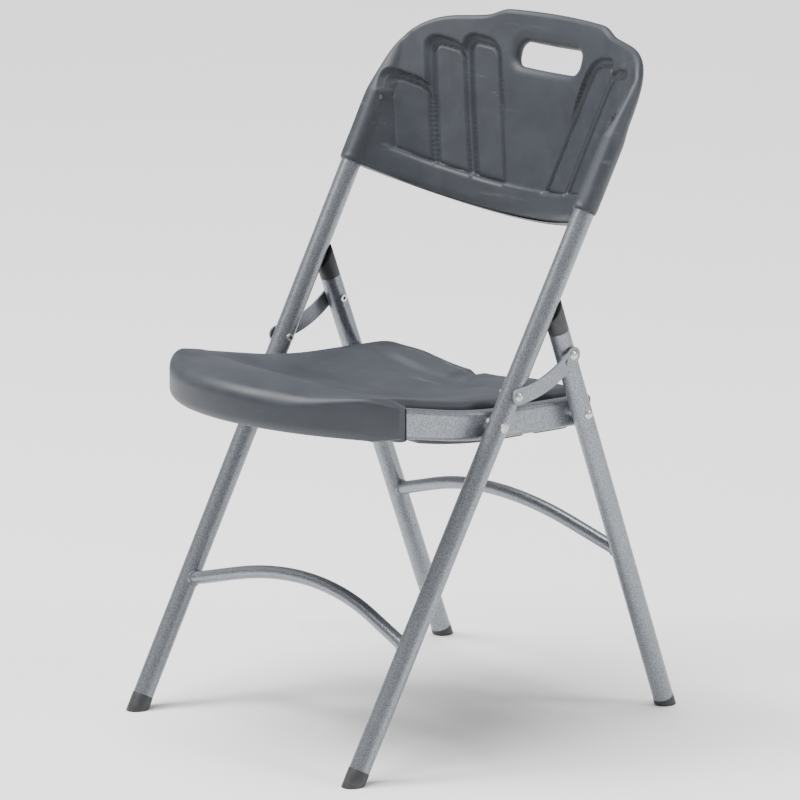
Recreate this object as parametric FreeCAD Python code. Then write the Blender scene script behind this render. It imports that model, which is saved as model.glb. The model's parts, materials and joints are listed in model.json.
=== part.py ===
import FreeCAD, Part
import math
import os

V = FreeCAD.Vector

# A folding chair: two crossed pairs of steel legs, two seat rails, two curved links,
# and moulded plastic seat and back panels. X runs across the chair, +Y to the rear
# and +Z up. The origin is on the floor, under the middle of the open chair.
# Every size is in millimetres and every angle in degrees.

# Driving dimensions: the frame
leg_od = 25.0
leg_wall = 1.0
front_lean = 29.08          # front legs, from upright, leaning to the rear
rear_lean = 20.56           # rear legs, from upright, leaning to the front
foot_spread = 500.0         # front foot centres to rear foot centres, along the floor
front_half_width = 201.0    # front leg axis from the middle plane, at the floor
front_splay = 0.66          # each front leg opens outwards on its way up
rear_stance = 2.8           # rear feet stand wider than the front feet by this, each side
rear_splay = 0.31

# Driving dimensions: pivots, measured along the legs
seat_pivot_on_front = 450.8     # from the floor
seat_pivot_on_rear = 415.8
front_pivots_apart = 40.1       # seat pivot to link pivot
rear_pivots_apart = 82.0

# Driving dimensions: braces
brace_od = 16.0
brace_wall = 1.0
front_brace_height = 170.0  # along the leg, at the leg axis
rear_brace_height = 218.0
brace_slope = 17.5          # straight ends of the brace, from horizontal
brace_bend = 414.0          # radius of the middle of the brace
weld_width = 1.8
weld_height = 2.4

# Driving dimensions: feet and caps
foot_lip = 0.4              # foot's outside over the tube's outside
foot_exposed_front = 19.0
foot_exposed_rear = 11.0
plug_depth = 22.0
plug_clearance = 0.1
cap_length = 29.0           # rear leg cap, along the leg axis
stop_gap = 0.4              # cap face to the front leg, chair open

# Driving dimensions: seat rails
rail_height = 36.0
rail_width = 15.0
rail_wall = 1.0
rail_to_leg = 3.7           # rail's outer face to the front leg's inner side, at the pivot
rail_drop = 3.0             # rail centre line below the line through the two pivots
rail_rise = 9.5             # turn of the rail, upwards to the front
rail_bend = 660.0
rail_corner_ahead = 17.0    # ahead of the front pivot, along the rail
rail_front = 140.0          # rail end, ahead of the front pivot
rail_rear = 24.0            # rail end, behind the rear pivot
rail_plug_depth = 8.0
rail_plug_head = 5.0
bar_od = 16.0
bar_wall = 1.0
bar_below = 12.0            # cross bar centre below the rail centre line
front_bar_ahead = 102.0     # of the front pivot
rear_bar_ahead = -84.0

# Driving dimensions: seat panel
wrap_cover = 3.0            # moulding over the rail's outer face, at the front
nose_flare = 20.0           # radius of the round nose over the half width of the front
seat_centre_ahead = 52.0    # centre of that round, ahead of the front pivot
wrap_end_ahead = 130.0      # rear end of the part that wraps the rails
pan_side_gap = 3.4          # pan to the inner face of the rail
seat_above = 25.5           # top of the sides over the rail centre line
seat_below = 22.0           # underside below the rail centre line
nose_drop = 12.0            # the underside falls this much more from the wrap to the nose
seat_wall = 3.5
seat_rear = 25.0            # rear edge, behind the rear pivot
dish_depth = 12.0
dish_margin = 21.6          # side of the dish to the side of the pan
dish_front = 40.0           # front of the dish to the nose

# Driving dimensions: back panel, along the front leg and from its own lower edge
panel_bottom = 723.0        # lower edge, from the floor
sleeve_depth = 89.0         # leg inside its sleeve
sleeve_wall = 2.0
sleeve_top = 92.0           # where the sleeve's round end begins
panel_height = 243.7        # to the top of the raised middle
panel_thickness = 17.0
panel_wall = 3.0
rim_inset = 4.0             # rim of the sheet inside the sleeve's outer side, at the lower edge
corner_pinch = 5.4          # and at the start of the rounded corners
corner_low = 145.0
corner_high = 217.0
corner_reach = 68.5         # width of the rounded corner
corner_bulge = 16.0         # middle of the corner off its chord
brow_half_width = 110.0
brow_height = 226.7
crown_half_width = 88.0     # raised middle
crown_height = 238.5
bow_inset = 2.4             # edge of the bowed sheet from the outside of the sleeve
bow_depth_low = 107.5       # middle of the sheet behind the legs, at the lower edge
bow_depth_high = 46.5       # and at the top
slot_half_width = 55.0      # hand slot
slot_low = 176.0
slot_high = 206.0
slot_round = 12.0
panel_screw_height = 42.0

# Driving dimensions: links, rivets, screws
strap_width = 19.5
strap_thickness = 2.5
strap_gap = 0.6             # strap to the leg's outer side
strap_bow = 13.5            # corner of the bent strap, off the line of its pivots
strap_bend = 136.0
rib_width = 6.5
rib_height = 1.4
rib_inset = 12.0            # rib end to the pivot
shank_radius = 3.0
fixed_clearance = 0.05
running_clearance = 0.08
head_radius = 6.0
head_height = 3.0
low_head_height = 0.7       # seat front rivets: the folded link lies over them
saddle_depth = 2.5          # collar of a rivet that beds on a round tube
tail_radius = 4.6
tail_length = 2.0
tail_bore = 2.0
tail_bore_depth = 6.0
side_gap = 0.3              # between faces that turn past each other
slot_rise = 8.8             # room for the rear rivet in the rail as the chair folds
slot_drift = 3.3
slot_play = 0.45
spacer_radius = 8.0
screw_radius = 2.0
screw_head_radius = 4.2
screw_head_height = 2.4
screw_spread = 95.0         # seat screws from the middle plane
screw_bite = 9.0            # screw length in the plastic
boss_radius = 7.0

# Sizes worked out from the ones above
leg_radius = leg_od / 2
brace_radius = brace_od / 2
bar_radius = bar_od / 2
front_rad = math.radians(front_lean)
rear_rad = math.radians(rear_lean)
foot_radius = leg_radius + foot_lip
sleeve_radius = leg_radius + plug_clearance + sleeve_wall
front_leg_length = panel_bottom + sleeve_depth
rear_half_width = front_half_width + rear_stance
X_AXIS = V(1, 0, 0)
FAR = 1000.0                # longer than any piece
OVERRUN = 1.0               # a cutting tool past the face that it cuts

# Local frames: across the chair, behind the leg plane, up the leg
front_frame = FreeCAD.Placement(V(0, 0, 0), FreeCAD.Rotation(X_AXIS, -front_lean))
rear_frame = FreeCAD.Placement(V(0, foot_spread, 0), FreeCAD.Rotation(X_AXIS, rear_lean))


def on_front_leg(distance, side=1):
    x = front_half_width + distance * math.tan(math.radians(front_splay))
    return front_frame.multVec(V(side * x, 0, distance))


def on_rear_leg(distance, side=1):
    x = rear_half_width + distance * math.tan(math.radians(rear_splay))
    return rear_frame.multVec(V(side * x, 0, distance))


# Pivot points on the right-hand legs
seat_front_pivot = on_front_leg(seat_pivot_on_front)
link_front_pivot = on_front_leg(seat_pivot_on_front + front_pivots_apart)
seat_rear_pivot = on_rear_leg(seat_pivot_on_rear)
link_rear_pivot = on_rear_leg(seat_pivot_on_rear + rear_pivots_apart)
pivots_apart = math.hypot(seat_rear_pivot.y - seat_front_pivot.y, seat_rear_pivot.z - seat_front_pivot.z)

# Widths across the seat, from the front legs inwards
rail_outer = seat_front_pivot.x - leg_radius - rail_to_leg
rail_inner = rail_outer - rail_width
rail_centre_x = rail_outer - rail_width / 2
rail_half = rail_height / 2
rail_corner = rail_width / 2 - 1.0
pan_half_width = rail_inner - pan_side_gap
wrap_half_width = rail_outer + wrap_cover
seat_radius = wrap_half_width + nose_flare
nose_ahead = seat_centre_ahead + seat_radius


def unit(vector):
    return vector * (1 / vector.Length)


def rod(start, end, radius):
    return Part.makeCylinder(radius, (end - start).Length, start, end - start)


def tube(start, end, radius, wall):
    overrun = unit(end - start) * OVERRUN
    return rod(start, end, radius).cut(rod(start - overrun, end + overrun, radius - wall))


def bar_across(radius, x_from, x_to, point):
    return rod(V(x_from, point.y, point.z), V(x_to, point.y, point.z), radius)


def block(x_size, y_size, z_size, centre):
    corner = centre - V(x_size / 2, y_size / 2, z_size / 2)
    return Part.makeBox(x_size, y_size, z_size, corner)


def rounded_path(points, radii):
    """Straight runs through the points, with a tangent arc at each inner point."""
    edges = []
    start = points[0]
    for i, radius in enumerate(radii, 1):
        before = unit(points[i - 1] - points[i])
        after = unit(points[i + 1] - points[i])
        half = before.getAngle(after) / 2
        reach = radius / math.tan(half)
        middle = unit(before + after) * (radius / math.sin(half) - radius)
        arc_start = points[i] + before * reach
        arc_end = points[i] + after * reach
        edges.append(Part.LineSegment(start, arc_start).toShape())
        edges.append(Part.Arc(arc_start, points[i] + middle, arc_end).toShape())
        start = arc_end
    edges.append(Part.LineSegment(start, points[-1]).toShape())
    return Part.Wire(edges)


def sweep(path, profile):
    return path.makePipeShell([profile], True, False)


def mirror(shape):
    return shape.mirror(V(0, 0, 0), X_AXIS)


def polygon(points):
    return Part.Face(Part.makePolygon(points + [points[0]]))


# Legs, feet and caps
def foot_plug(leg_start, leg_end, exposed):
    """A plastic plug in the tube's lower end, cut level with the floor."""
    along = unit(leg_end - leg_start)
    shoulder = leg_start + along * exposed
    skirt = rod(leg_start - along * leg_od, shoulder, foot_radius)
    insert = rod(shoulder, shoulder + along * plug_depth, leg_radius - leg_wall - plug_clearance)
    below_floor = block(leg_od * 4, leg_od * 4, leg_od * 2, V(leg_start.x, leg_start.y, -leg_od))
    return skirt.fuse(insert).removeSplitter().cut(below_floor)


def front_leg():
    return on_front_leg(foot_exposed_front), on_front_leg(front_leg_length)


def rear_cap_face():
    """Distance up the rear leg at which its axis meets the front leg's stop face."""
    crossing = foot_spread * math.cos(front_rad) / math.sin(front_rad + rear_rad)
    return crossing - (leg_radius + stop_gap) / math.sin(front_rad + rear_rad)


def rear_leg():
    return on_rear_leg(foot_exposed_rear), on_rear_leg(rear_cap_face() - cap_length)


def rear_cap():
    """A plug on the rear leg's upper end, bevelled to lie along the front leg."""
    start = rear_leg()[1]
    along = unit(start - on_rear_leg(0))
    crown = rod(start, start + along * (cap_length + leg_od), leg_radius)
    insert = rod(start - along * plug_depth, start, leg_radius - leg_wall - plug_clearance)
    bevel = block(leg_od * 4, leg_od * 4, FAR, V(start.x, -leg_od * 2 + leg_radius + stop_gap, FAR / 2))
    bevel.Placement = front_frame
    return crown.cut(bevel).fuse(insert).removeSplitter()


def brace(on_leg, height, frame, bore):
    """A bent cross tube between two legs: bore gives its outer or inner surface."""
    end = frame.inverse().multVec(on_leg(height))
    rise = end.x * math.tan(math.radians(brace_slope))
    points = [V(-end.x, 0, end.z), V(0, 0, end.z + rise), V(end.x, 0, end.z)]
    profile = Part.Wire(Part.makeCircle(bore, points[0], points[1] - points[0]))
    shape = sweep(rounded_path(points, [brace_bend]), profile)
    shape.Placement = frame
    return shape


def brace_tube(on_leg, height, frame):
    outer = brace(on_leg, height, frame, brace_radius)
    inner = brace(on_leg, height, frame, brace_radius - brace_wall)
    legs = [rod(on_leg(0, side), on_leg(height * 2, side), leg_radius) for side in (1, -1)]
    return outer.cut(inner).cut(legs[0]).cut(legs[1])


def brace_welds(on_leg, height, frame):
    """The fillet of weld where each brace end meets its leg."""
    outer = brace(on_leg, height, frame, brace_radius)
    bead = brace(on_leg, height, frame, brace_radius + weld_width)
    solids = []
    for side in (1, -1):
        leg = rod(on_leg(height - 40, side), on_leg(height + 40, side), leg_radius)
        band = rod(on_leg(height - 40, side), on_leg(height + 40, side), leg_radius + weld_height)
        solids.append(bead.common(band).cut(leg).cut(outer))
    return Part.makeCompound(solids)


# Rivets and spacers
def rivet(pivot, head_face, tail_face, collar, height=head_height):
    """A rivet across the chair: domed head outside, rolled hollow tail inside."""
    dome_radius = (head_radius ** 2 + height ** 2) / (2 * height)
    ball = Part.makeSphere(dome_radius, V(head_face + height - dome_radius, pivot.y, pivot.z))
    head = ball.common(bar_across(head_radius + OVERRUN, head_face, head_face + dome_radius, pivot))
    shank = bar_across(shank_radius, tail_face, head_face, pivot)
    tail = bar_across(tail_radius, tail_face - tail_length, tail_face, pivot)
    bore = bar_across(tail_bore, tail_face - tail_length - OVERRUN, tail_face + tail_bore_depth, pivot)
    return head.fuse(collar).fuse(shank).fuse(tail).cut(bore).removeSplitter()


def rail_rivet(pivot, leg, height):
    """Through a leg and the seat rail: the head beds on the leg, the tail is inside the seat."""
    face = pivot.x + leg_radius
    collar = bar_across(head_radius, face - saddle_depth, face, pivot).cut(leg)
    return rivet(pivot, face, rail_inner - side_gap, collar, height)


def link_rivet(pivot, strap_face, leg):
    """Through a link and a leg: the head is over the link, the tail beds on the leg."""
    face = pivot.x - leg_radius
    collar = bar_across(tail_radius, face, face + saddle_depth, pivot).cut(leg)
    return rivet(pivot, strap_face + side_gap, face, collar)


def spacer(pivot, leg):
    """A washer on the rivet, between the rail and the leg's round side."""
    outer = bar_across(spacer_radius, rail_outer + side_gap, pivot.x, pivot)
    return outer.cut(hole_at(pivot, fixed_clearance)).cut(leg)


def hole_at(pivot, clearance):
    return bar_across(shank_radius + clearance, 0, FAR, pivot)


# Seat rails
def rail_direction():
    return unit(V(0, seat_front_pivot.y - seat_rear_pivot.y, seat_front_pivot.z - seat_rear_pivot.z))


def rail_point(ahead, above=0.0):
    """A point on the rail's rear straight, from the front pivot, in the middle plane."""
    along = rail_direction()
    upward = V(0, along.z, -along.y)
    pivot = V(0, seat_front_pivot.y, seat_front_pivot.z)
    return pivot + along * ahead + upward * (above - rail_drop)


def rail_front_point(ahead, above=0.0):
    """A point on the rail's rising front straight, the same distance from the pivot."""
    corner = rail_point(rail_corner_ahead)
    turn = FreeCAD.Rotation(X_AXIS, -rail_rise)
    along = turn.multVec(rail_direction())
    upward = V(0, along.z, -along.y)
    return corner + along * (ahead - rail_corner_ahead) + upward * above


def rail_path(front, rear):
    points = [rail_point(-pivots_apart - rear), rail_point(rail_corner_ahead), rail_front_point(front)]
    return rounded_path(points, [rail_bend])


def rail_section(width, low, high, corner, rear):
    """A rounded rectangle across the rail's rear end, from low to high off its centre line."""
    half = width / 2
    centre = rail_point(-pivots_apart - rear)
    upward = rail_point(-pivots_apart - rear, 1) - centre
    slant = corner * (1 - math.sqrt(0.5))

    def at(x, height):
        return centre + V(x, 0, 0) + upward * height

    edges = [
        Part.makeLine(at(corner - half, low), at(half - corner, low)),
        Part.Arc(at(half - corner, low), at(half - slant, low + slant), at(half, low + corner)).toShape(),
        Part.makeLine(at(half, low + corner), at(half, high - corner)),
        Part.Arc(at(half, high - corner), at(half - slant, high - slant), at(half - corner, high)).toShape(),
        Part.makeLine(at(half - corner, high), at(corner - half, high)),
        Part.Arc(at(corner - half, high), at(slant - half, high - slant), at(-half, high - corner)).toShape(),
        Part.makeLine(at(-half, high - corner), at(-half, low + corner)),
        Part.Arc(at(-half, low + corner), at(slant - half, low + slant), at(corner - half, low)).toShape(),
    ]
    return Part.Wire(edges)


def swept_along_rail(width, low, high, corner, front, rear):
    return sweep(rail_path(front, rear), rail_section(width, low, high, corner, rear))


def rivet_slot():
    """The space that the rear rivet sweeps in the rail: behind and above its resting place."""
    radius = shank_radius + slot_play
    upward = rail_point(0, 1) - rail_point(0)
    lean = math.degrees(math.atan2(-upward.y, upward.z))
    size_y = slot_drift + 2 * radius
    size_z = slot_rise + 2 * radius
    slot = block(rail_width * 3, size_y, size_z, V(rail_centre_x, slot_drift / 2, slot_rise / 2))
    across = [edge for edge in slot.Edges if abs(edge.tangentAt(edge.FirstParameter).x) > 0.9]
    slot = slot.makeFillet(radius, across)
    slot.Placement = FreeCAD.Placement(V(0, seat_rear_pivot.y, seat_rear_pivot.z),
                                       FreeCAD.Rotation(X_AXIS, lean))
    return slot


def rail():
    outer = swept_along_rail(rail_width, -rail_half, rail_half, rail_corner, rail_front, rail_rear)
    inner = swept_along_rail(rail_width - 2 * rail_wall, rail_wall - rail_half, rail_half - rail_wall,
                             rail_corner - rail_wall, rail_front + OVERRUN, rail_rear + OVERRUN)
    hollow = outer.cut(inner)
    hollow.translate(V(rail_centre_x, 0, 0))
    return hollow.cut(rivet_slot()).cut(hole_at(seat_front_pivot, running_clearance))


def rail_plug():
    """The rounded plug that closes the rail's rear end."""
    inset = rail_wall + plug_clearance
    end = -pivots_apart - rail_rear
    insert = sweep(Part.Wire(Part.makeLine(rail_point(end), rail_point(end + rail_plug_depth))),
                   rail_section(rail_width - 2 * inset, inset - rail_half, rail_half - inset,
                                rail_corner - inset, rail_rear))
    head = sweep(Part.Wire(Part.makeLine(rail_point(end - rail_plug_head), rail_point(end))),
                 rail_section(rail_width, -rail_half, rail_half, rail_corner, rail_rear + rail_plug_head))
    shape = insert.fuse(head).removeSplitter()
    shape.translate(V(rail_centre_x, 0, 0))
    return shape


def bar_point(ahead):
    if ahead > rail_corner_ahead:
        return rail_front_point(ahead, -bar_below)
    return rail_point(ahead, -bar_below)


def cross_bar(ahead):
    """A tube between the rails, drilled for the seat screws."""
    point = bar_point(ahead)
    shape = bar_across(bar_radius, -rail_inner, rail_inner, point)
    shape = shape.cut(bar_across(bar_radius - bar_wall, -FAR, FAR, point))
    for side in (1, -1):
        shape = shape.cut(rod(V(side * screw_spread, point.y, point.z - bar_od),
                              V(side * screw_spread, point.y, point.z + bar_od), screw_radius + fixed_clearance))
    return shape


def seat_screw(ahead, side):
    """A pan-head screw, up through a cross bar into the seat panel."""
    point = bar_point(ahead)
    x = side * screw_spread
    neck = V(x, point.y, point.z - bar_radius)
    shank = rod(neck, V(x, point.y, point.z + bar_radius + screw_bite), screw_radius)
    head = rod(neck - V(0, 0, screw_head_height), neck, screw_head_radius)
    head = head.cut(rod(V(x, point.y, point.z - bar_radius), V(x, point.y, point.z), screw_head_radius))
    return head.fuse(shank).removeSplitter()


# Seat panel
def seat_plan(inset):
    """The seat's outline from above, as a tall block."""
    centre_y = seat_front_pivot.y - seat_centre_ahead
    rear_y = seat_rear_pivot.y + seat_rear - inset
    front_y = centre_y - seat_radius - OVERRUN
    wrap_y = seat_front_pivot.y - wrap_end_ahead - inset
    radius = seat_radius - inset
    nose = Part.makeCylinder(radius, FAR, V(0, centre_y, 0))
    tail = block(2 * radius, rear_y - centre_y, FAR, V(0, (rear_y + centre_y) / 2, FAR / 2))
    wrap = block(2 * (wrap_half_width - inset), wrap_y - front_y, FAR, V(0, (wrap_y + front_y) / 2, FAR / 2))
    pan = block(2 * (pan_half_width - inset), rear_y - front_y, FAR, V(0, (rear_y + front_y) / 2, FAR / 2))
    return nose.fuse(tail).common(wrap.fuse(pan))


def seat_slab(inset):
    """The seat's thickness: it follows the rails, and its underside falls towards the nose."""
    front = nose_ahead + seat_wall
    width = 2 * seat_radius
    fall = nose_drop * (front - wrap_end_ahead) / (nose_ahead - wrap_end_ahead)
    slab = swept_along_rail(width, inset - seat_below, seat_above - inset, 1.0, front, seat_rear - inset)
    start = rail_front_point(wrap_end_ahead, inset - seat_below)
    end = rail_front_point(front, inset - seat_below)
    corners = [V(-width / 2, start.y, start.z), V(-width / 2, end.y, end.z), V(-width / 2, end.y, end.z - fall)]
    wedge = polygon(corners).extrude(V(width, 0, 0))
    return slab.fuse(wedge).removeSplitter()


def dish(inset):
    """The hollow that the sitter rests in: a shallow trough along the seat."""
    half = pan_half_width - dish_margin
    radius = (half ** 2 + dish_depth ** 2) / (2 * dish_depth)
    depth = dish_depth + inset
    reach = math.sqrt(radius ** 2 - (radius - depth) ** 2)
    rear_end = -pivots_apart - seat_rear - OVERRUN
    floor = rail_point(rear_end, seat_above - depth)
    upward = rail_point(rear_end, 1) - rail_point(rear_end)
    rim = floor + upward * depth
    lid = floor + upward * seat_above * 2
    edges = [Part.Arc(rim - V(reach, 0, 0), floor, rim + V(reach, 0, 0)).toShape(),
             Part.makeLine(rim + V(reach, 0, 0), lid + V(reach, 0, 0)),
             Part.makeLine(lid + V(reach, 0, 0), lid - V(reach, 0, 0)),
             Part.makeLine(lid - V(reach, 0, 0), rim - V(reach, 0, 0))]
    return sweep(rail_path(nose_ahead - dish_front, seat_rear + OVERRUN), Part.Wire(edges))


def seat_panel():
    """The hollow moulded seat: it wraps the rail fronts and lies between them behind."""
    body = seat_plan(0).common(seat_slab(0)).cut(dish(0))
    core = seat_plan(seat_wall).common(seat_slab(seat_wall)).cut(dish(seat_wall))
    core_half = pan_half_width - seat_wall
    core = core.common(block(2 * core_half, FAR, FAR, V(0, seat_front_pivot.y, FAR / 2)))
    for ahead in (front_bar_ahead, rear_bar_ahead):
        point = bar_point(ahead)
        body = body.cut(bar_groove(point, side_gap))
        core = core.cut(bar_groove(point, seat_wall))
        for side in (1, -1):
            foot = V(side * screw_spread, point.y, point.z)
            core = core.cut(Part.makeCylinder(boss_radius, FAR, V(foot.x, foot.y, 0)))
            body = body.cut(rod(foot, foot + V(0, 0, bar_radius + screw_bite), screw_radius))
    channel = swept_along_rail(rail_width + 2 * side_gap, -rail_half - side_gap, rail_half + side_gap,
                               rail_corner, rail_front + OVERRUN, rail_rear)
    for side in (1, -1):
        run = channel.copy()
        run.translate(V(side * rail_centre_x, 0, 0))
        body = body.cut(run)
    return body.cut(core)


def bar_groove(point, clearance):
    radius = bar_radius + clearance
    deep = seat_below + 20
    round_top = bar_across(radius, -FAR, FAR, point)
    return round_top.fuse(block(2 * FAR, 2 * radius, deep, point - V(point.x, 0, deep / 2)))


# Back panel, in the front legs' own frame
def sleeve_axis(distance, side=1):
    return front_frame.inverse().multVec(on_front_leg(distance, side))


def sleeve_rods(radius, low, high):
    rods = [rod(sleeve_axis(low, side), sleeve_axis(high, side), radius) for side in (1, -1)]
    return rods[0].fuse(rods[1])


def sleeves():
    top = panel_bottom + sleeve_top
    balls = [Part.makeSphere(sleeve_radius, sleeve_axis(top, side)) for side in (1, -1)]
    return sleeve_rods(sleeve_radius, panel_bottom, top).fuse(balls[0]).fuse(balls[1])


def panel_side():
    """Half the width of the panel at its lower edge, to the outside of the sleeve."""
    return sleeve_axis(panel_bottom).x + sleeve_radius


def bow(x, height):
    """How far the middle of the sheet lies behind the leg plane."""
    depth = bow_depth_low + (bow_depth_high - bow_depth_low) * height / panel_height
    return depth * (1 - (x / (panel_side() - bow_inset)) ** 2)


def panel_section(height, inset):
    """The sheet's section at one height over the panel's lower edge, between the sleeves."""
    count = 9
    half = panel_side() + OVERRUN
    offset = panel_thickness / 2 - inset
    xs = [half * (2 * i / (count - 1) - 1) for i in range(count)]
    z = panel_bottom + height
    front = Part.BSplineCurve()
    front.interpolate([V(x, bow(x, height) - offset, z) for x in xs])
    rear = Part.BSplineCurve()
    rear.interpolate([V(x, bow(x, height) + offset, z) for x in reversed(xs)])
    return Part.Wire([front.toShape(), Part.makeLine(front.EndPoint, rear.StartPoint),
                      rear.toShape(), Part.makeLine(rear.EndPoint, front.StartPoint)])


def panel_sheet(inset):
    count = 6
    step = (panel_height + 2 * panel_thickness) / (count - 1)
    sections = [panel_section(step * i - panel_thickness, inset) for i in range(count)]
    return Part.makeLoft(sections, True, False)


def panel_outline(inset):
    """The panel seen square to the legs, as a block deep enough to cut any bow."""
    deep = 4 * bow_depth_low
    side = panel_side() - inset
    low = panel_bottom + inset

    def at(x, height):
        return V(x, -deep, panel_bottom + height - inset)

    def flipped(point):
        return V(-point.x, point.y, point.z)

    corner_start = at(side - corner_pinch, corner_low)
    corner_end = at(side - corner_pinch - corner_reach, corner_high)
    chord = corner_end - corner_start
    corner_middle = corner_start + chord * 0.5 + unit(V(chord.z, 0, -chord.x)) * corner_bulge
    brow = at(brow_half_width, brow_height)
    crown = at(crown_half_width, crown_height)
    bottom = V(side - rim_inset, -deep, low)
    edges = [
        Part.makeLine(flipped(bottom), bottom),
        Part.makeLine(bottom, corner_start),
        Part.Arc(corner_start, corner_middle, corner_end).toShape(),
        Part.makeLine(corner_end, brow),
        Part.makeLine(brow, crown),
        Part.Arc(crown, at(0, panel_height), flipped(crown)).toShape(),
        Part.makeLine(flipped(crown), flipped(brow)),
        Part.makeLine(flipped(brow), flipped(corner_end)),
        Part.Arc(flipped(corner_end), flipped(corner_middle), flipped(corner_start)).toShape(),
        Part.makeLine(flipped(corner_start), flipped(bottom)),
    ]
    return Part.Face(Part.Wire(edges)).extrude(V(0, 2 * deep, 0))


def hand_slot(grown):
    width = 2 * (slot_half_width + grown)
    middle = panel_bottom + (slot_high + slot_low) / 2
    slot = block(width, 4 * bow_depth_low, slot_high - slot_low + 2 * grown, V(0, 0, middle))
    upright = [edge for edge in slot.Edges if abs(edge.tangentAt(edge.FirstParameter).y) > 0.9]
    return slot.makeFillet(slot_round + grown, upright)


def back_panel():
    """The hollow moulded back: a bowed sheet between two sleeves that take the front legs."""
    core = panel_sheet(panel_wall).common(panel_outline(panel_wall))
    core = core.cut(sleeve_rods(sleeve_radius, 0, front_leg_length + OVERRUN)).cut(hand_slot(panel_wall))
    sheet = panel_sheet(0).common(panel_outline(0))
    shape = sheet.fuse(sleeves()).cut(core).cut(hand_slot(0))
    shape = shape.cut(sleeve_rods(leg_radius + plug_clearance, 0, front_leg_length + OVERRUN))
    for side in (1, -1):
        shape = shape.cut(panel_screw_shape(side, fixed_clearance))
    shape.Placement = front_frame
    return shape


def panel_screw_shape(side, clearance):
    """A screw from behind, through the sleeve and into the leg tube, in the legs' frame."""
    axis = sleeve_axis(panel_bottom + panel_screw_height, side)
    tip = axis + V(0, leg_radius - leg_wall - screw_head_radius, 0)
    seat = axis + V(0, sleeve_radius - screw_head_height / 4, 0)
    end = seat + V(0, screw_head_height, 0)
    return rod(tip, seat, screw_radius + clearance).fuse(rod(seat, end, screw_head_radius + clearance))


def panel_screw():
    shape = panel_screw_shape(1, 0)
    shape.Placement = front_frame
    return shape


# Links
def strap(start, corner, end, width, thickness):
    """A flat bar along a bent line, with round ends."""
    path = rounded_path([start, corner, end], [strap_bend])
    shape = sweep(path, strap_profile(path, width, thickness))
    for point in (start, end):
        shape = shape.fuse(Part.makeCylinder(width / 2, thickness, point, X_AXIS))
    return shape


def link_face():
    """The link's inner face, clear of the outer side of both legs."""
    return max(link_front_pivot.x, link_rear_pivot.x) + leg_radius + strap_gap


def link():
    """A bent strap outside the legs, with a pressed rib along its middle."""
    start = V(0, link_front_pivot.y, link_front_pivot.z)
    end = V(0, link_rear_pivot.y, link_rear_pivot.z)
    along = unit(end - start)
    corner = start + (end - start) * 0.5 + V(0, along.z, -along.y) * strap_bow
    rib_start = start + unit(corner - start) * rib_inset
    rib_end = end + unit(corner - end) * rib_inset
    rib = strap(rib_start, corner, rib_end, rib_width, strap_thickness + rib_height)
    shape = strap(start, corner, end, strap_width, strap_thickness).fuse(rib).removeSplitter()
    shape.translate(V(link_face(), 0, 0))
    return shape.cut(hole_at(link_front_pivot, running_clearance)).cut(hole_at(link_rear_pivot, running_clearance))


def strap_profile(path, width, thickness):
    """A flat section across the start of the path, standing out along X."""
    start = path.OrderedEdges[0].valueAt(path.OrderedEdges[0].FirstParameter)
    along = path.OrderedEdges[0].tangentAt(path.OrderedEdges[0].FirstParameter)
    across = V(0, along.z, -along.y) * (width / 2)
    out = V(thickness, 0, 0)
    return Part.makePolygon([start - across, start + across, start + across + out,
                             start - across + out, start - across])


def drilled(shape, pivots):
    for pivot in pivots:
        shape = shape.cut(hole_at(pivot, fixed_clearance))
    return shape


def build():
    """All the pieces by name, the left-hand ones mirrored from the right-hand ones."""
    front_rod = rod(on_front_leg(0), on_front_leg(front_leg_length), leg_radius)
    rear_rod = rod(on_rear_leg(0), rear_leg()[1], leg_radius)
    front_tube = drilled(tube(*front_leg(), leg_radius, leg_wall), [seat_front_pivot, link_front_pivot])
    screw_hole = panel_screw_shape(1, fixed_clearance)
    screw_hole.Placement = front_frame
    rear_tube = drilled(tube(*rear_leg(), leg_radius, leg_wall), [seat_rear_pivot, link_rear_pivot])
    strap_face = link_face() + strap_thickness
    pairs = {
        "front_leg": front_tube.cut(screw_hole),
        "rear_leg": rear_tube,
        "front_foot": foot_plug(on_front_leg(0), on_front_leg(FAR), foot_exposed_front),
        "rear_foot": foot_plug(on_rear_leg(0), on_rear_leg(FAR), foot_exposed_rear),
        "rear_leg_cap": rear_cap(),
        "seat_rail": rail(),
        "rail_plug": rail_plug(),
        "link": link(),
    }
    groups = {
        "seat_front_rivets": rail_rivet(seat_front_pivot, front_rod, low_head_height),
        "seat_rear_rivets": rail_rivet(seat_rear_pivot, rear_rod, head_height),
        "link_front_rivets": link_rivet(link_front_pivot, strap_face, front_rod),
        "link_rear_rivets": link_rivet(link_rear_pivot, strap_face, rear_rod),
        "front_spacers": spacer(seat_front_pivot, front_rod),
        "rear_spacers": spacer(seat_rear_pivot, rear_rod),
        "back_panel_screws": panel_screw(),
    }
    seat_screws = [seat_screw(ahead, side) for ahead in (front_bar_ahead, rear_bar_ahead) for side in (1, -1)]
    pieces = {
        "front_brace": brace_tube(on_front_leg, front_brace_height, front_frame),
        "rear_brace": brace_tube(on_rear_leg, rear_brace_height, rear_frame),
        "front_welds": brace_welds(on_front_leg, front_brace_height, front_frame),
        "rear_welds": brace_welds(on_rear_leg, rear_brace_height, rear_frame),
        "seat_front_bar": cross_bar(front_bar_ahead),
        "seat_rear_bar": cross_bar(rear_bar_ahead),
        "seat_panel": seat_panel(),
        "back_panel": back_panel(),
        "seat_screws": Part.makeCompound(seat_screws),
    }
    for name, shape in pairs.items():
        pieces[name + "_right"] = shape
        pieces[name + "_left"] = mirror(shape)
    for name, shape in groups.items():
        pieces[name] = Part.makeCompound([shape, mirror(shape)])
    return pieces


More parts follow.
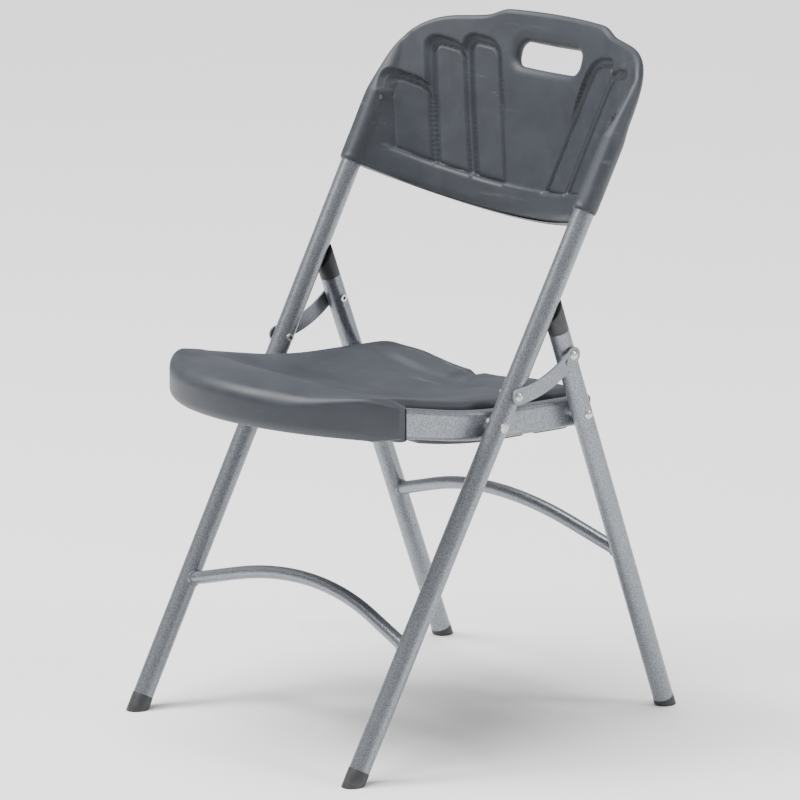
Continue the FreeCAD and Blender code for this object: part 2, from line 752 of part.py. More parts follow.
def main():
    pieces = build()
    box = Part.makeCompound(list(pieces.values())).optimalBoundingBox(False, False)
    to_origin = V(0, -(box.YMin + box.YMax) / 2, -box.ZMin)
    os.makedirs("parts", exist_ok=True)
    for name, shape in sorted(pieces.items()):
        shape.translate(to_origin)
        shape.exportStep("parts/" + name + ".step")
    print("size", round(box.XLength, 3), round(box.YLength, 3), round(box.ZLength, 3), "low", round(box.ZMin, 4))
    for name, point in (("seat front", seat_front_pivot), ("link front", link_front_pivot),
                        ("seat rear", seat_rear_pivot), ("link rear", link_rear_pivot),
                        ("front foot", on_front_leg(0)), ("rear foot", on_rear_leg(0))):
        moved = point + to_origin
        print(name, round(moved.x, 3), round(moved.y, 3), round(moved.z, 3))


main()
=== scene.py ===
import json
import math

import bmesh
import bpy
import numpy as np
from mathutils import Matrix, Vector
from mathutils.bvhtree import BVHTree

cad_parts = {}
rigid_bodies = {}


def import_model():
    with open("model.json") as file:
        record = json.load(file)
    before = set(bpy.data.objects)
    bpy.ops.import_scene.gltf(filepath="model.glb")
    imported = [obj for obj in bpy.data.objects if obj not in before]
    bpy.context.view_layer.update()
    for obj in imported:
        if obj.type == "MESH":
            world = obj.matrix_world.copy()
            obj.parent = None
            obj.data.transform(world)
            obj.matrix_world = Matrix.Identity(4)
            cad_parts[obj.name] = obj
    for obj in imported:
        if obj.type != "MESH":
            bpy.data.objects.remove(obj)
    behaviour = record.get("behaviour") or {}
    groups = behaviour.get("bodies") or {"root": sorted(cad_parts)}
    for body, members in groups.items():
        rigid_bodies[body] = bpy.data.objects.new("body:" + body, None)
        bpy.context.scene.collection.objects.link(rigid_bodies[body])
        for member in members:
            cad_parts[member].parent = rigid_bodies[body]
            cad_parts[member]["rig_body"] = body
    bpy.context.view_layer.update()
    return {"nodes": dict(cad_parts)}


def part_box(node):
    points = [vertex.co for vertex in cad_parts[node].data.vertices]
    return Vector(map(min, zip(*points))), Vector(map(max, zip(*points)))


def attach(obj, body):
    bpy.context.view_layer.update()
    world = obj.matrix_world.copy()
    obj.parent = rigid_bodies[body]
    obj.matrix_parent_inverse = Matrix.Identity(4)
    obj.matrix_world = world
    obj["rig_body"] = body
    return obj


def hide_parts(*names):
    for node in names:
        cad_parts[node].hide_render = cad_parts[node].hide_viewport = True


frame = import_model()
nodes = frame["nodes"]

# The moulded back and seat are worked out in millimetres, the rest in metres.
MM = 0.001
LEFT, RIGHT = 1, -1

# The front legs lean back by this much, and the back panel is drawn in their plane:
# x across, s up along the legs from the floor, v behind the plane of the legs.
front_lean = math.radians(29.08)
leg_radius = 12.5
front_foot_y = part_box("front_foot_left")[0].y / MM + leg_radius / math.cos(front_lean)
leg_foot_x = 201.0
leg_splay = math.tan(math.radians(0.66))

# Back panel
panel_foot = 723.0
panel_crown = 966.7
panel_foot_half = 223.9
panel_half_thickness = 8.5
panel_side_low = (225.2, 806.0)
corner_low = (218.5, 868.0)
corner_high = (150.0, 940.0)
corner_bulge = 16.0
brow = (110.0, 949.7)
crown_side = (88.0, 961.5)
outline_softness = 7
bow_half_width = 221.53
bow_foot_depth = 107.5
bow_crown_depth = 46.5
slot_half_width = 55.0
slot_low, slot_high = 899.0, 929.0
slot_round = 12.0
slot_funnel = 13.0
sleeve_radius = 14.6
sleeve_top = 815.0
sleeve_taper = 90.0
sleeve_sink = 14.0
sleeve_web_slope = 1.15
sleeve_lip = 3.0
sleeve_blend = 24.0
sleeve_rear_blend = 6.0
panel_step = 1.62

# Arches pressed into the back panel, on each side: centre line at its foot, and top
arches = ((156.0, 843.5), (108.3, 900.0), (58.0, 914.0))
arch_half = 20.6
arch_round = 13.0
arch_foot = 758.0
arch_slant = 0.32
arch_border = 7.0
border_step = 6.4
arch_step = 1.3
arch_groove = 3.3
arch_groove_width = 2.1
centre_recess_half = 34.0
centre_fade = (820.0, 892.0)
step_softness = 1.5
foot_softness = 0.6

# Seat panel
seat_low, seat_high = (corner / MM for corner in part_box("seat_panel"))
wrap_half = seat_high.x
pan_half = 171.6
wrap_end = -146.9
nose_centre = -68.9
nose_radius = 213.0
rear_corner = 22.0
seat_round_top = 8.0
seat_round_foot = 5.0
nose_round_foot = 8.0
nose_round_top = 7.0
nose_fall = 15.0
nose_fall_length = 87.0
nose_flat_half, nose_side_half = 95.0, 186.0
wrap_corner = 3.5
dish_depth = 15.0
dish_front, dish_full = -188.0, -105.0
dish_rear_half = (10.0, 170.0)
dish_front_half = (95.0, 152.0)
underside_drop = 3.0
lobe_rise = 4.5
lobe_front, lobe_full = 84.0, 101.0
lobe_notch = (3.0, 16.0)
lobe_side = (90.0, 150.0)
seat_step = 2.2


# Shapes in the plane, as signed distances: below 0 is inside
def smooth_step(value, low, high):
    t = np.clip((value - low) / (high - low), 0.0, 1.0)
    return t * t * (3 - 2 * t)


def round_rim(distance, radius, height):
    """Height of a quarter-round edge at this distance in from the rim."""
    t = 1 - np.clip(distance / radius, 0.0, 1.0)
    return height * np.sqrt(1 - t * t)


def soft_max(a, b, blend):
    blend = np.maximum(blend, 0.1)
    h = np.clip(0.5 + 0.5 * (a - b) / blend, 0.0, 1.0)
    return b + (a - b) * h + blend * h * (1 - h) * 0.5


def slot_distance(x, s):
    """To the hand slot: a rectangle with round corners."""
    along = np.abs(x) - (slot_half_width - slot_round)
    up = np.abs(s - (slot_low + slot_high) / 2) - ((slot_high - slot_low) / 2 - slot_round)
    outside = np.hypot(np.maximum(along, 0), np.maximum(up, 0))
    return outside + np.minimum(np.maximum(along, up), 0) - slot_round


def arch_distance(x, s, centre, top):
    """To one slanting arch, which is round at its top and runs on below its foot."""
    slid = np.abs(x) - arch_slant * (s - arch_foot) - centre
    along = np.abs(slid) - (arch_half - arch_round)
    up = s - (top - arch_round)
    outside = np.hypot(np.maximum(along, 0), np.maximum(up, 0))
    return outside + np.minimum(np.maximum(along, up), 0) - arch_round


def polyline_distance(x, y, line):
    """To the nearest point of a closed line of points."""
    nearest = np.full(x.shape, 1e9)
    for (ax, ay), (bx, by) in zip(line, np.roll(line, -1, axis=0)):
        length_2 = (bx - ax) ** 2 + (by - ay) ** 2
        if length_2 < 1e-9:
            continue
        t = np.clip(((x - ax) * (bx - ax) + (y - ay) * (by - ay)) / length_2, 0, 1)
        nearest = np.minimum(nearest, np.hypot(x - ax - t * (bx - ax), y - ay - t * (by - ay)))
    return nearest


def even_points(line, spacing):
    """The same line with its points evenly spaced, as close as spacing."""
    line = np.asarray(line, float)
    lengths = np.concatenate([[0], np.cumsum(np.hypot(*np.diff(line, axis=0).T))])
    places = np.linspace(0, lengths[-1], max(2, round(lengths[-1] / spacing) + 1))
    return np.column_stack([np.interp(places, lengths, line[:, k]) for k in (0, 1)])


def softened_line(line, passes):
    """The line with its corners rounded off. Its ends stay."""
    for _ in range(passes):
        line[1:-1] = (line[:-2] + 2 * line[1:-1] + line[2:]) / 4
    return line


def at_fractions(line, fractions):
    """Points at these fractions of the line's length."""
    lengths = np.concatenate([[0], np.cumsum(np.hypot(*np.diff(line, axis=0).T))])
    return np.column_stack([np.interp(fractions * lengths[-1], lengths, line[:, k]) for k in (0, 1)])


def spaced(length, step, rim):
    """Fractions from 0 to 1 of a length: close together in a round rim at each end."""
    close = rim * (1 - np.cos(np.linspace(0, math.pi / 2, 7)))
    middle = np.linspace(rim, length - rim, round((length - 2 * rim) / step) + 1)
    return np.concatenate([close[:-1], middle, length - close[-2::-1]]) / length


# Meshes
weld_gap = 0.02 * MM


def grid_of(bm, places):
    """Adds a grid to the mesh with its points at places[row, column]. Returns its points in that order."""
    rows, columns = places.shape[:2]
    made = bmesh.ops.create_grid(bm, x_segments=columns - 1, y_segments=rows - 1, size=1.0)["verts"]
    ordered = {}
    for vert in made:
        column = round((vert.co.x + 1) / 2 * (columns - 1))
        row = round((vert.co.y + 1) / 2 * (rows - 1))
        vert.co = places[row, column]
        ordered[row, column] = vert
    return ordered


def drop_faces(bm, ordered, unwanted):
    """Deletes the faces of a grid where unwanted says so at their middles."""
    own = set(ordered.values())
    faces = [face for face in bm.faces if face.verts[0] in own and unwanted(face.calc_center_median())]
    bmesh.ops.delete(bm, geom=faces, context="FACES")


def panel_point(x, s, v):
    """From the back panel's own millimetres to the row frame in metres."""
    y = front_foot_y + s * math.sin(front_lean) + v * math.cos(front_lean)
    z = s * math.cos(front_lean) - v * math.sin(front_lean)
    return np.column_stack([x, y, z]) * MM


def finished(bm, name, body, slot_name, sharp_angle=50):
    """Makes the object from a mesh, closes its seams and puts it on its body."""
    bmesh.ops.remove_doubles(bm, verts=bm.verts, dist=weld_gap)
    bmesh.ops.recalc_face_normals(bm, faces=bm.faces)
    mesh = bpy.data.meshes.new(name)
    bm.to_mesh(mesh)
    bm.free()
    mesh.shade_smooth()
    mesh.set_sharp_from_angle(angle=math.radians(sharp_angle))
    piece = bpy.data.objects.new(name, mesh)
    bpy.context.scene.collection.objects.link(piece)
    mesh.materials.append(finishes[slot_name])
    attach(piece, body)
    return piece


# Back panel
def panel_outline():
    """The right-hand side of the outline and its top, as two lines that meet in the round corner."""
    low, high = np.array(corner_low), np.array(corner_high)
    chord = high - low
    outward = np.array([chord[1], -chord[0]]) / np.hypot(*chord)
    t = np.linspace(0, 1, 25)[:, None]
    corner = low + chord * t + outward * 4 * corner_bulge * t * (1 - t)
    side = np.vstack([[(panel_foot_half, panel_foot), panel_side_low], corner[:13]])
    crown_x = np.linspace(crown_side[0], 0, 12)
    rise = panel_crown - crown_side[1]
    crown = np.column_stack([crown_x, crown_side[1] + rise * (1 - (crown_x / crown_side[0]) ** 2)])
    half_top = np.vstack([corner[12:], [brow], crown])
    top = np.vstack([half_top, (half_top * (-1, 1))[::-1][1:]])
    return softened_line(even_points(side, 1.0), outline_softness ** 2), softened_line(even_points(top, 1.0), outline_softness ** 2)


def panel_plan():
    """x and s of every point of the panel's grid, blended between its four sides."""
    right, top_from_right = panel_outline()
    top = top_from_right[::-1]
    left = right * (-1, 1)
    foot = np.array([(-panel_foot_half, panel_foot), (panel_foot_half, panel_foot)])
    across = spaced(2 * panel_foot_half, panel_step, panel_half_thickness)
    up = spaced(panel_crown - panel_foot, panel_step, panel_half_thickness)
    u, t = across[None, :, None], up[:, None, None]
    bottom_line, top_line = at_fractions(foot, across)[None], at_fractions(top, across)[None]
    left_line, right_line = at_fractions(left, up)[:, None], at_fractions(right, up)[:, None]
    plan = (1 - t) * bottom_line + t * top_line + (1 - u) * left_line + u * right_line
    plan -= (1 - u) * (1 - t) * foot[0] + u * (1 - t) * foot[1] + (1 - u) * t * top[0] + u * t * top[-1]
    outline = np.vstack([foot, right[1:], top_from_right[1:], left[::-1][1:-1]])
    return plan, outline[::3]


def pressed_depth(x, s):
    """How deep the arches and the middle are pressed into the panel's front."""
    inner = np.minimum.reduce([arch_distance(x, s, *arch) for arch in arches])
    above_foot = (arch_foot - s) * foot_softness
    inner_arch = np.maximum(inner, above_foot)
    outer = np.maximum(inner - arch_border, above_foot)
    slid = np.abs(x) - arch_slant * (s - arch_foot)
    centre = np.maximum(slid - centre_recess_half, above_foot)
    fade = 1 - smooth_step(s, *centre_fade)
    deep_border = 1 - smooth_step(outer, -step_softness, step_softness)
    deep_centre = (1 - smooth_step(centre, -step_softness, step_softness)) * fade
    deep_arch = 1 - smooth_step(inner_arch, -step_softness, step_softness)
    groove = np.exp(-(inner_arch / arch_groove_width) ** 2)
    return border_step * np.maximum(deep_border, deep_centre) + arch_step * deep_arch + arch_groove * groove


def panel_skins(x, s, rim):
    """v of the panel's front and rear at these points; rim is their distance from the outline."""
    share = (s - panel_foot) / (panel_crown - panel_foot)
    bow = bow_foot_depth + (bow_crown_depth - bow_foot_depth) * share
    middle = bow * (1 - (x / bow_half_width) ** 2)
    from_slot = np.maximum(slot_distance(x, s), 0)
    edge = round_rim(rim, panel_half_thickness, 1.0)
    front = panel_half_thickness * np.minimum(edge, round_rim(from_slot, slot_funnel, 1.0))
    rear = panel_half_thickness * np.minimum(edge, round_rim(from_slot, panel_half_thickness, 1.0))
    from_leg = np.abs(np.abs(x) - (leg_foot_x + s * leg_splay))
    past_top = np.clip((s - sleeve_top) / sleeve_taper, 0, 1)
    radius = sleeve_radius * (1 - past_top ** 2)
    tube = np.sqrt(np.maximum(radius ** 2 - from_leg ** 2, 0)) - np.maximum(from_leg - radius, 0) * sleeve_web_slope
    side_rim = np.where(s > panel_foot + 30, rim, sleeve_radius)
    tube = tube * round_rim(side_rim, 6.0, 1.0)
    tube -= sleeve_lip - round_rim(s - panel_foot, sleeve_lip, sleeve_lip)
    tube = np.where(radius < 0.5, -99.0, tube) - sleeve_sink * past_top
    front_v = -soft_max(front - middle, tube, sleeve_blend * edge)
    rear_v = soft_max(rear + middle, tube, sleeve_rear_blend)
    clear_of_leg = np.maximum(smooth_step(from_leg, 8.0, 14.0), smooth_step(s, sleeve_top, sleeve_top + 10))
    front_v += pressed_depth(x, s) * clear_of_leg
    at_rim = rim < 0.01
    tight = at_rim & (s > panel_foot + 1)
    meet = (front_v + rear_v) / 2
    return np.where(tight, meet, front_v), np.where(tight, meet, rear_v)


def back_panel():
    """The moulded back: two skins that meet round the outline and in the hand slot."""
    plan, outline = panel_plan()
    flat = np.concatenate([plan, np.zeros(plan.shape[:2] + (1,))], axis=2)
    bm = bmesh.new()
    skins = []
    for _ in range(2):
        ordered = grid_of(bm, flat)
        drop_faces(bm, ordered, lambda middle: slot_distance(middle.x, middle.y) < 0)
        skins.append([vert for vert in ordered.values() if vert.is_valid])
    bmesh.ops.delete(bm, geom=[vert for vert in bm.verts if not vert.link_faces], context="VERTS")
    skins = [[vert for vert in skin if vert.is_valid] for skin in skins]
    for skin in skins:
        for vert in skin:
            near_slot = slot_distance(vert.co.x, vert.co.y) < 3 * panel_step
            if vert.is_boundary and near_slot:
                vert.co = onto_slot(vert.co)
    for skin, side in zip(skins, (0, 1)):
        co = np.array([vert.co for vert in skin], float)
        rim = polyline_distance(co[:, 0], co[:, 1], outline)
        height = panel_skins(co[:, 0], co[:, 1], rim)[side]
        for vert, place in zip(skin, panel_point(co[:, 0], co[:, 1], height)):
            vert.co = place
    bmesh.ops.remove_doubles(bm, verts=bm.verts, dist=weld_gap)
    sleeve_ends = [edge for edge in bm.edges if edge.is_boundary]
    bmesh.ops.holes_fill(bm, edges=sleeve_ends)
    piece = finished(bm, "back_panel_moulding", "front_frame", "moulded_plastic")
    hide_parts("back_panel")


def onto_slot(co):
    """The point of the hand slot's outline nearest to this one."""
    x, s, step = co.x, co.y, 0.01
    for _ in range(6):
        here = slot_distance(x, s)
        slope_x = (slot_distance(x + step, s) - slot_distance(x - step, s)) / (2 * step)
        slope_s = (slot_distance(x, s + step) - slot_distance(x, s - step)) / (2 * step)
        steepness = max(slope_x ** 2 + slope_s ** 2, 0.1)
        x -= here * slope_x / steepness
        s -= here * slope_s / steepness
    return Vector((x, s, 0.0))


# Seat
def seat_plan():
    """x and y of every point of the seat's grid, how many rows the pan has and how many columns each side of the
    wrap adds. The wrap is wider than the pan.
    """
    inner = (spaced(2 * pan_half, seat_step, seat_round_top) * 2 - 1) * pan_half
    wide = wrap_half - pan_half
    outer = pan_half + spaced(2 * wide, seat_step, seat_round_top * 0.8) * 2 * wide
    outer = outer[(outer > pan_half + 0.1)]
    outer = np.sort(2 * pan_half + wide * 0 + (wrap_half - pan_half) - (outer - pan_half))
    outer = outer[(outer > pan_half + 0.1) & (outer <= wrap_half + 0.01)]
    outer = np.unique(np.append(outer, wrap_half))
    columns = np.concatenate([-outer[::-1], inner, outer])
    pan_length = seat_high.y - wrap_end
    pan_rows = seat_high.y - spaced(2 * pan_length, seat_step, seat_round_top) * 2 * pan_length
    pan_rows = np.append(pan_rows[pan_rows > wrap_end + 0.5], wrap_end)
    narrowing = np.clip(pan_rows - (seat_high.y - rear_corner), 0, rear_corner)
    half = pan_half - rear_corner + np.sqrt(rear_corner ** 2 - narrowing ** 2)
    pan_x = columns[None, :] * (half / pan_half)[:, None]
    pan_y = np.repeat(pan_rows[:, None], len(columns), axis=1)
    front = nose_centre - np.sqrt(nose_radius ** 2 - columns ** 2)
    nose_length = wrap_end - front.min()
    wrap_rows = spaced(2 * nose_length, seat_step, seat_round_top) * 2
    wrap_rows = 1 - wrap_rows[wrap_rows < 1 - 0.2 * seat_step / nose_length][::-1]
    wrap_y = wrap_end + wrap_rows[:, None] * (front - wrap_end)[None, :]
    from_end = np.clip(wrap_corner - (wrap_end - wrap_y), 0, wrap_corner)
    side = wrap_half - wrap_corner + np.sqrt(wrap_corner ** 2 - from_end ** 2)
    past_pan = np.maximum(np.abs(columns)[None, :] - pan_half, 0) / (wrap_half - pan_half)
    wrap_x = np.sign(columns)[None, :] * (np.minimum(np.abs(columns), pan_half)[None, :]
                                          + past_pan * (side - pan_half))
    plan = np.stack([np.vstack([pan_x, wrap_x]), np.vstack([pan_y, wrap_y])], axis=2)
    return plan, len(pan_rows), len(outer)


def seat_outline():
    turn = np.linspace(0, math.pi / 2, 9)
    corner = [(pan_half - rear_corner + rear_corner * math.cos(a),
               seat_high.y - rear_corner + rear_corner * math.sin(a)) for a in turn]
    x = np.linspace(wrap_half, 0, 60)
    nose = np.column_stack([x, nose_centre - np.sqrt(nose_radius ** 2 - x ** 2)])
    half = np.vstack([corner[::-1], [(pan_half, wrap_end), (wrap_half, wrap_end)], nose])
    return np.vstack([half, (half * (-1, 1))[::-1]])


def cad_height(tree, x, y, from_above):
    """z of the CAD seat's surface at x, y, or None beside it."""
    start = Vector((x, y, seat_high.z + 50 if from_above else seat_low.z - 50)) * MM
    hit = tree.ray_cast(start, Vector((0, 0, -1 if from_above else 1)))[0]
    return None if hit is None else hit.z / MM


def seat_heights(plan, pan_rows):
    """z of the seat's top and underside at every point of the grid, without its round rims."""
    cad = bmesh.new()
    cad.from_mesh(nodes["seat_panel"].data)
    tree = BVHTree.FromBMesh(cad)
    cad.free()
    side_y = np.arange(nose_centre - 130, seat_high.y - 3, 3.0)
    side_z = np.array([cad_height(tree, pan_half - 4, y, True) for y in side_y])
    slope = (side_z[0] - side_z[8]) / (side_y[0] - side_y[8])
    x, y = plan[..., 0], plan[..., 1]
    top = np.interp(y, side_y, side_z) + np.minimum(y - side_y[0], 0) * slope
    share = np.clip((y - wrap_end) / (seat_high.y - wrap_end), 0, 1)
    inner, outer = (front + (rear - front) * share for front, rear in zip(dish_front_half, dish_rear_half))
    hollow = 1 - smooth_step((np.abs(x) - inner) / (outer - inner), 0, 1)
    top = top - dish_depth * hollow * smooth_step(y, dish_front, dish_full)
    lobes = smooth_step(np.abs(x), *lobe_notch) * (1 - smooth_step(np.abs(x), *lobe_side))
    top = top + lobe_rise * lobes * smooth_step(y, lobe_front, lobe_full)
    underside = np.full(x.shape, np.nan)
    rows, columns = x.shape
    for row in range(rows):
        for column in range(columns):
            px, py = plan[row, column]
            if row < pan_rows:
                px = min(max(px, -pan_half), pan_half)
            elif abs(px) > pan_half:
                py = min(py, wrap_end - 0.4)
            height = cad_height(tree, px * 0.996, -100 + (min(py, seat_high.y - 0.6) + 100) * 0.997, False)
            if height is not None:
                underside[row, column] = height
        known = ~np.isnan(underside[row])
        underside[row] = np.interp(np.arange(columns), np.flatnonzero(known), underside[row][known])
    return top, underside - underside_drop * smooth_step(y, wrap_end - 3, wrap_end + 3)


def softened_heights(z, passes):
    for _ in range(passes):
        padded = np.pad(z, 1, mode="edge")
        z = (padded[:-2, 1:-1] + padded[2:, 1:-1] + padded[1:-1, :-2] + padded[1:-1, 2:] + 4 * z) / 8
    return z


def seat_panel():
    """The moulded seat: a top and an underside with round rims, joined by a plain wall."""
    plan, pan_rows, extra = seat_plan()
    outline = seat_outline()
    top, underside = seat_heights(plan, pan_rows)
    rim = polyline_distance(plan[..., 0], plan[..., 1], outline)
    underside = softened_heights(underside, 2)
    nose = 1 - smooth_step(np.abs(plan[..., 0]), nose_flat_half, nose_side_half)
    nose *= smooth_step(-plan[..., 1], 150, 215)
    top = top - nose_fall * nose * (1 - np.clip(rim / nose_fall_length, 0, 1)) ** 2
    top_round = seat_round_top + nose_round_top * nose
    top = top - top_round * (1 - round_rim(rim, top_round, 1.0))
    foot_round = seat_round_foot + nose_round_foot * smooth_step(-plan[..., 1], 150, 215)
    underside = underside + foot_round * (1 - round_rim(rim, foot_round, 1.0))
    bm = bmesh.new()
    columns = plan.shape[1]
    for z in (top, underside):
        ordered = grid_of(bm, np.concatenate([plan, z[..., None]], axis=2) * MM)
        faces = [face for face in bm.faces if face.is_valid]
        spare = []
        for row in range(pan_rows - 1):
            for start in (0, columns - 1 - extra):
                for column in range(start, start + extra):
                    corners = [ordered[row + a, column + b] for a, b in ((0, 0), (0, 1), (1, 0), (1, 1))]
                    spare += [face for face in corners[0].link_faces if all(v in face.verts for v in corners)]
        bmesh.ops.delete(bm, geom=list(set(spare)), context="FACES")
    bmesh.ops.delete(bm, geom=[vert for vert in bm.verts if not vert.link_faces], context="VERTS")
    bmesh.ops.bridge_loops(bm, edges=[edge for edge in bm.edges if edge.is_boundary])
    piece = finished(bm, "seat_moulding", "seat", "moulded_plastic")
    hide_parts("seat_panel")


def softened(node, width, segments, slot_name):
    """A CAD node's own shape with its sharp edges rounded."""
    bm = bmesh.new()
    bm.from_mesh(nodes[node].data)
    bmesh.ops.remove_doubles(bm, verts=bm.verts, dist=0.01 * MM)
    bmesh.ops.dissolve_limit(bm, angle_limit=math.radians(0.5), verts=bm.verts, edges=bm.edges)
    sharp = [edge for edge in bm.edges if edge.is_manifold and edge.calc_face_angle() > math.radians(38)]
    bmesh.ops.bevel(bm, geom=sharp, offset=width * MM, affect="EDGES", segments=segments,
                    profile=0.5, material=-1, clamp_overlap=True)
    piece = finished(bm, node + "_rounded", nodes[node]["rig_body"], slot_name, 40)
    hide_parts(node)


# Finishes
class Signal:
    """A value in a finish's shader, so that arithmetic on it adds the nodes."""

    def __init__(self, finish, socket):
        self.finish = finish
        self.socket = socket

    def sum_of(self, operation, first, second):
        return self.finish.node("ShaderNodeMath", {"operation": operation}, {0: first, 1: second})

    def __add__(self, other):
        return self.sum_of("ADD", self, other)

    def __sub__(self, other):
        return self.sum_of("SUBTRACT", self, other)

    def __rsub__(self, other):
        return self.sum_of("SUBTRACT", other, self)

    def __mul__(self, other):
        return self.sum_of("MULTIPLY", self, other)

    def __pow__(self, other):
        return self.sum_of("POWER", self, other)

    __radd__ = __add__
    __rmul__ = __mul__


class Finish:
    """A material while it is being made."""

    def __init__(self, name):
        self.material = bpy.data.materials.new(name)
        self.material.use_nodes = True
        self.tree = self.material.node_tree
        self.tree.nodes.clear()
        self.place = self.node("ShaderNodeTexCoord", output="Object")

    def node(self, kind, settings=None, sockets=None, output=0):
        """Adds a node with its settings and its sockets' values or links, and returns one output."""
        made = self.tree.nodes.new(kind)
        for name, value in (settings or {}).items():
            if name == "stops":
                ends = made.color_ramp.elements
                for stop, (position, grey) in zip(ends, value):
                    stop.position = position
                    stop.color = (grey, grey, grey, 1)
            else:
                setattr(made, name, value)
        for name, value in (sockets or {}).items():
            if isinstance(value, Signal):
                self.tree.links.new(value.socket, made.inputs[name])
            else:
                made.inputs[name].default_value = value
        return Signal(self, made.outputs[output]) if made.outputs else None

    def noise(self, scale, detail=3.0, roughness=0.55, stretch=(1, 1, 1)):
        place = self.node("ShaderNodeMapping", {}, {"Vector": self.place, "Scale": stretch})
        return self.node("ShaderNodeTexNoise", {}, {"Vector": place, "Scale": scale, "Detail": detail,
                                                    "Roughness": roughness})

    def between(self, value, low, high):
        """The value spread so that low becomes 0 and high becomes 1."""
        return self.node("ShaderNodeMapRange", {"clamp": True}, {"Value": value, "From Min": low,
                                                                "From Max": high})

    def blend(self, share, first, second):
        """From the first colour to the second."""
        return self.node("ShaderNodeMix", {"data_type": "RGBA"},
                         {"Factor": share, 6: colour(first), 7: colour(second)}, output=2)

    def bump(self, height, strength, distance):
        return self.node("ShaderNodeBump", {}, {"Height": height, "Strength": strength,
                                                "Distance": distance})

    def done(self, **sockets):
        """Ends the finish in a principled shader. Names use _ where the socket has a space."""
        named = {name.replace("_", " "): value for name, value in sockets.items()}
        shader = self.node("ShaderNodeBsdfPrincipled", {}, named)
        self.node("ShaderNodeOutputMaterial", {}, {"Surface": shader})
        return self.material


def colour(value):
    return value if isinstance(value, Signal) else (*value, 1.0)


def frame_paint():
    """Silver-grey speckled paint over steel."""
    finish = Finish("frame_paint")
    speckle = finish.between(finish.noise(950, 2), 0.36, 0.66)
    mottle = finish.between(finish.noise(420, 2), 0.25, 0.75)
    wear = finish.between(finish.noise(22, 5, 0.62), 0.52, 0.8)
    paint = finish.blend(speckle * 0.8 + mottle * 0.2, (0.11, 0.117, 0.132), (0.36, 0.38, 0.415))
    paint = finish.blend(wear * 0.2, paint, (0.16, 0.163, 0.17))
    orange_peel = finish.bump(speckle * 0.6 + mottle, 0.16, 0.0003)
    return finish.done(Base_Color=paint, Metallic=0.7, Roughness=0.28 + 0.08 * mottle + 0.08 * wear,
                       Normal=orange_peel)


def fastener_steel():
    """Plated steel with fine turning marks."""
    finish = Finish("fastener_steel")
    marks = finish.between(finish.noise(700, 3, 0.6, (1, 1, 4)), 0.35, 0.65)
    tarnish = finish.between(finish.noise(90, 4), 0.45, 0.75)
    steel = finish.blend(tarnish * 0.6, (0.6, 0.6, 0.61), (0.33, 0.32, 0.31))
    return finish.done(Base_Color=steel, Metallic=1.0, Roughness=0.28 + 0.14 * marks + 0.2 * tarnish,
                       Normal=finish.bump(marks, 0.12, 0.0002))


def moulded_plastic():
    """Dark slate plastic: a fine matt grain, soft mottling and a few pale rubs."""
    finish = Finish("moulded_plastic")
    grain = finish.between(finish.noise(1500, 2), 0.3, 0.7)
    mottle = finish.between(finish.noise(26, 6, 0.6), 0.32, 0.72)
    streaks = finish.noise(60, 4, 0.6, (0.18, 1, 2.2))
    rubs = finish.between(streaks, 0.6, 0.78) * finish.between(finish.noise(9, 3), 0.48, 0.7)
    slate = finish.blend(mottle, (0.017, 0.02, 0.027), (0.029, 0.034, 0.044))
    slate = finish.blend(grain * 0.3, slate, (0.075, 0.084, 0.1))
    slate = finish.blend(rubs * 0.42, slate, (0.2, 0.21, 0.225))
    return finish.done(Base_Color=slate, Roughness=0.47 + 0.1 * mottle + 0.1 * rubs,
                       Normal=finish.bump(grain + 0.5 * mottle, 0.25, 0.00025))


def foot_plastic():
    """Near-black plastic, dusty in places."""
    finish = Finish("foot_plastic")
    grain = finish.between(finish.noise(1300, 2), 0.3, 0.7)
    dust = finish.between(finish.noise(45, 5, 0.6), 0.5, 0.8)
    black = finish.blend(dust * 0.5, (0.03, 0.031, 0.034), (0.1, 0.1, 0.1))
    return finish.done(Base_Color=black, Roughness=0.5 + 0.15 * dust,
                       Normal=finish.bump(grain, 0.2, 0.0002))


finishes = {"frame_paint": frame_paint(), "fastener_steel": fastener_steel(),
            "moulded_plastic": moulded_plastic(), "foot_plastic": foot_plastic()}

for node in nodes.values():
    for index, old in enumerate(node.data.materials):
        name = next(slot for slot in finishes if old.name.startswith(slot))
        node.data.materials[index] = finishes[name]

back_panel()
seat_panel()
for side in ("left", "right"):
    for end in ("front", "rear"):
        softened(f"{end}_foot_{side}", 1.6, 3, "foot_plastic")
    softened(f"rear_leg_cap_{side}", 1.2, 3, "foot_plastic")
    softened(f"rail_plug_{side}", 1.0, 2, "foot_plastic")


# Floor, light and camera
def floor_finish():
    finish = Finish("pale_floor")
    shade = finish.between(finish.noise(1.5, 2), 0.3, 0.7)
    return finish.done(Base_Color=finish.blend(shade, (0.93, 0.93, 0.93), (0.95, 0.95, 0.95)),
                       Roughness=0.8)


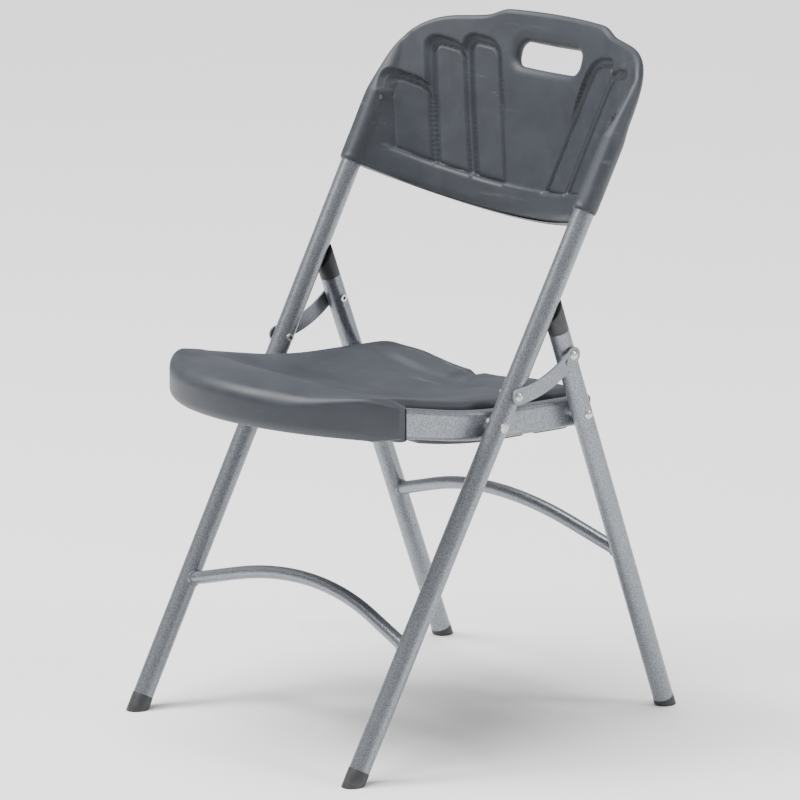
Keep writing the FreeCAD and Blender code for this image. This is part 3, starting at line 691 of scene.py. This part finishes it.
def floor():
    bm = bmesh.new()
    bmesh.ops.create_grid(bm, x_segments=1, y_segments=1, size=25.0)
    mesh = bpy.data.meshes.new("floor")
    bm.to_mesh(mesh)
    bm.free()
    mesh.materials.append(floor_finish())
    ground = bpy.data.objects.new("floor", mesh)
    bpy.context.scene.collection.objects.link(ground)


def soft_light(name, place, size, power):
    """A square area light that faces the middle of the chair."""
    lamp = bpy.data.lights.new(name, "AREA")
    lamp.size = size
    lamp.energy = power
    light = bpy.data.objects.new(name, lamp)
    light.location = place
    middle = Vector((0, 0, 0.4))
    light.rotation_mode = "QUATERNION"
    light.rotation_quaternion = (middle - Vector(place)).to_track_quat("-Z", "Y")
    bpy.context.scene.collection.objects.link(light)


def daylight(towards, spread, power):
    """A broad, even light over the whole floor."""
    lamp = bpy.data.lights.new("daylight", "SUN")
    lamp.angle = math.radians(spread)
    lamp.energy = power
    light = bpy.data.objects.new("daylight", lamp)
    light.rotation_mode = "QUATERNION"
    light.rotation_quaternion = Vector(towards).to_track_quat("Z", "Y")
    bpy.context.scene.collection.objects.link(light)


def camera():
    turn, rise = math.radians(48.8683), math.radians(13.105)
    back = Vector((math.sin(turn) * math.cos(rise), -math.cos(turn) * math.cos(rise), math.sin(rise)))
    lens = bpy.data.cameras.new("camera")
    lens.lens = 227.17
    lens.sensor_width = 36.0
    lens.shift_x = 0.0105
    lens.shift_y = -0.0475
    view = bpy.data.objects.new("camera", lens)
    view.location = (4.43206, -3.87191, 1.80246)
    view.rotation_mode = "QUATERNION"
    view.rotation_quaternion = (-back).to_track_quat("-Z", "Y")
    bpy.context.scene.collection.objects.link(view)
    bpy.context.scene.camera = view


floor()
soft_light("key", (-1.5, -1.6, 3.5), 1.1, 135)
soft_light("fill", (3.0, 1.6, 2.6), 0.9, 60)
daylight((-0.1, -0.1, 1.0), 40, 4.2)
world = bpy.data.worlds.new("studio")
world.use_nodes = True
world.node_tree.nodes["Background"].inputs["Color"].default_value = (1, 1, 1, 1)
world.node_tree.nodes["Background"].inputs["Strength"].default_value = 0.42
bpy.context.scene.world = world
camera()
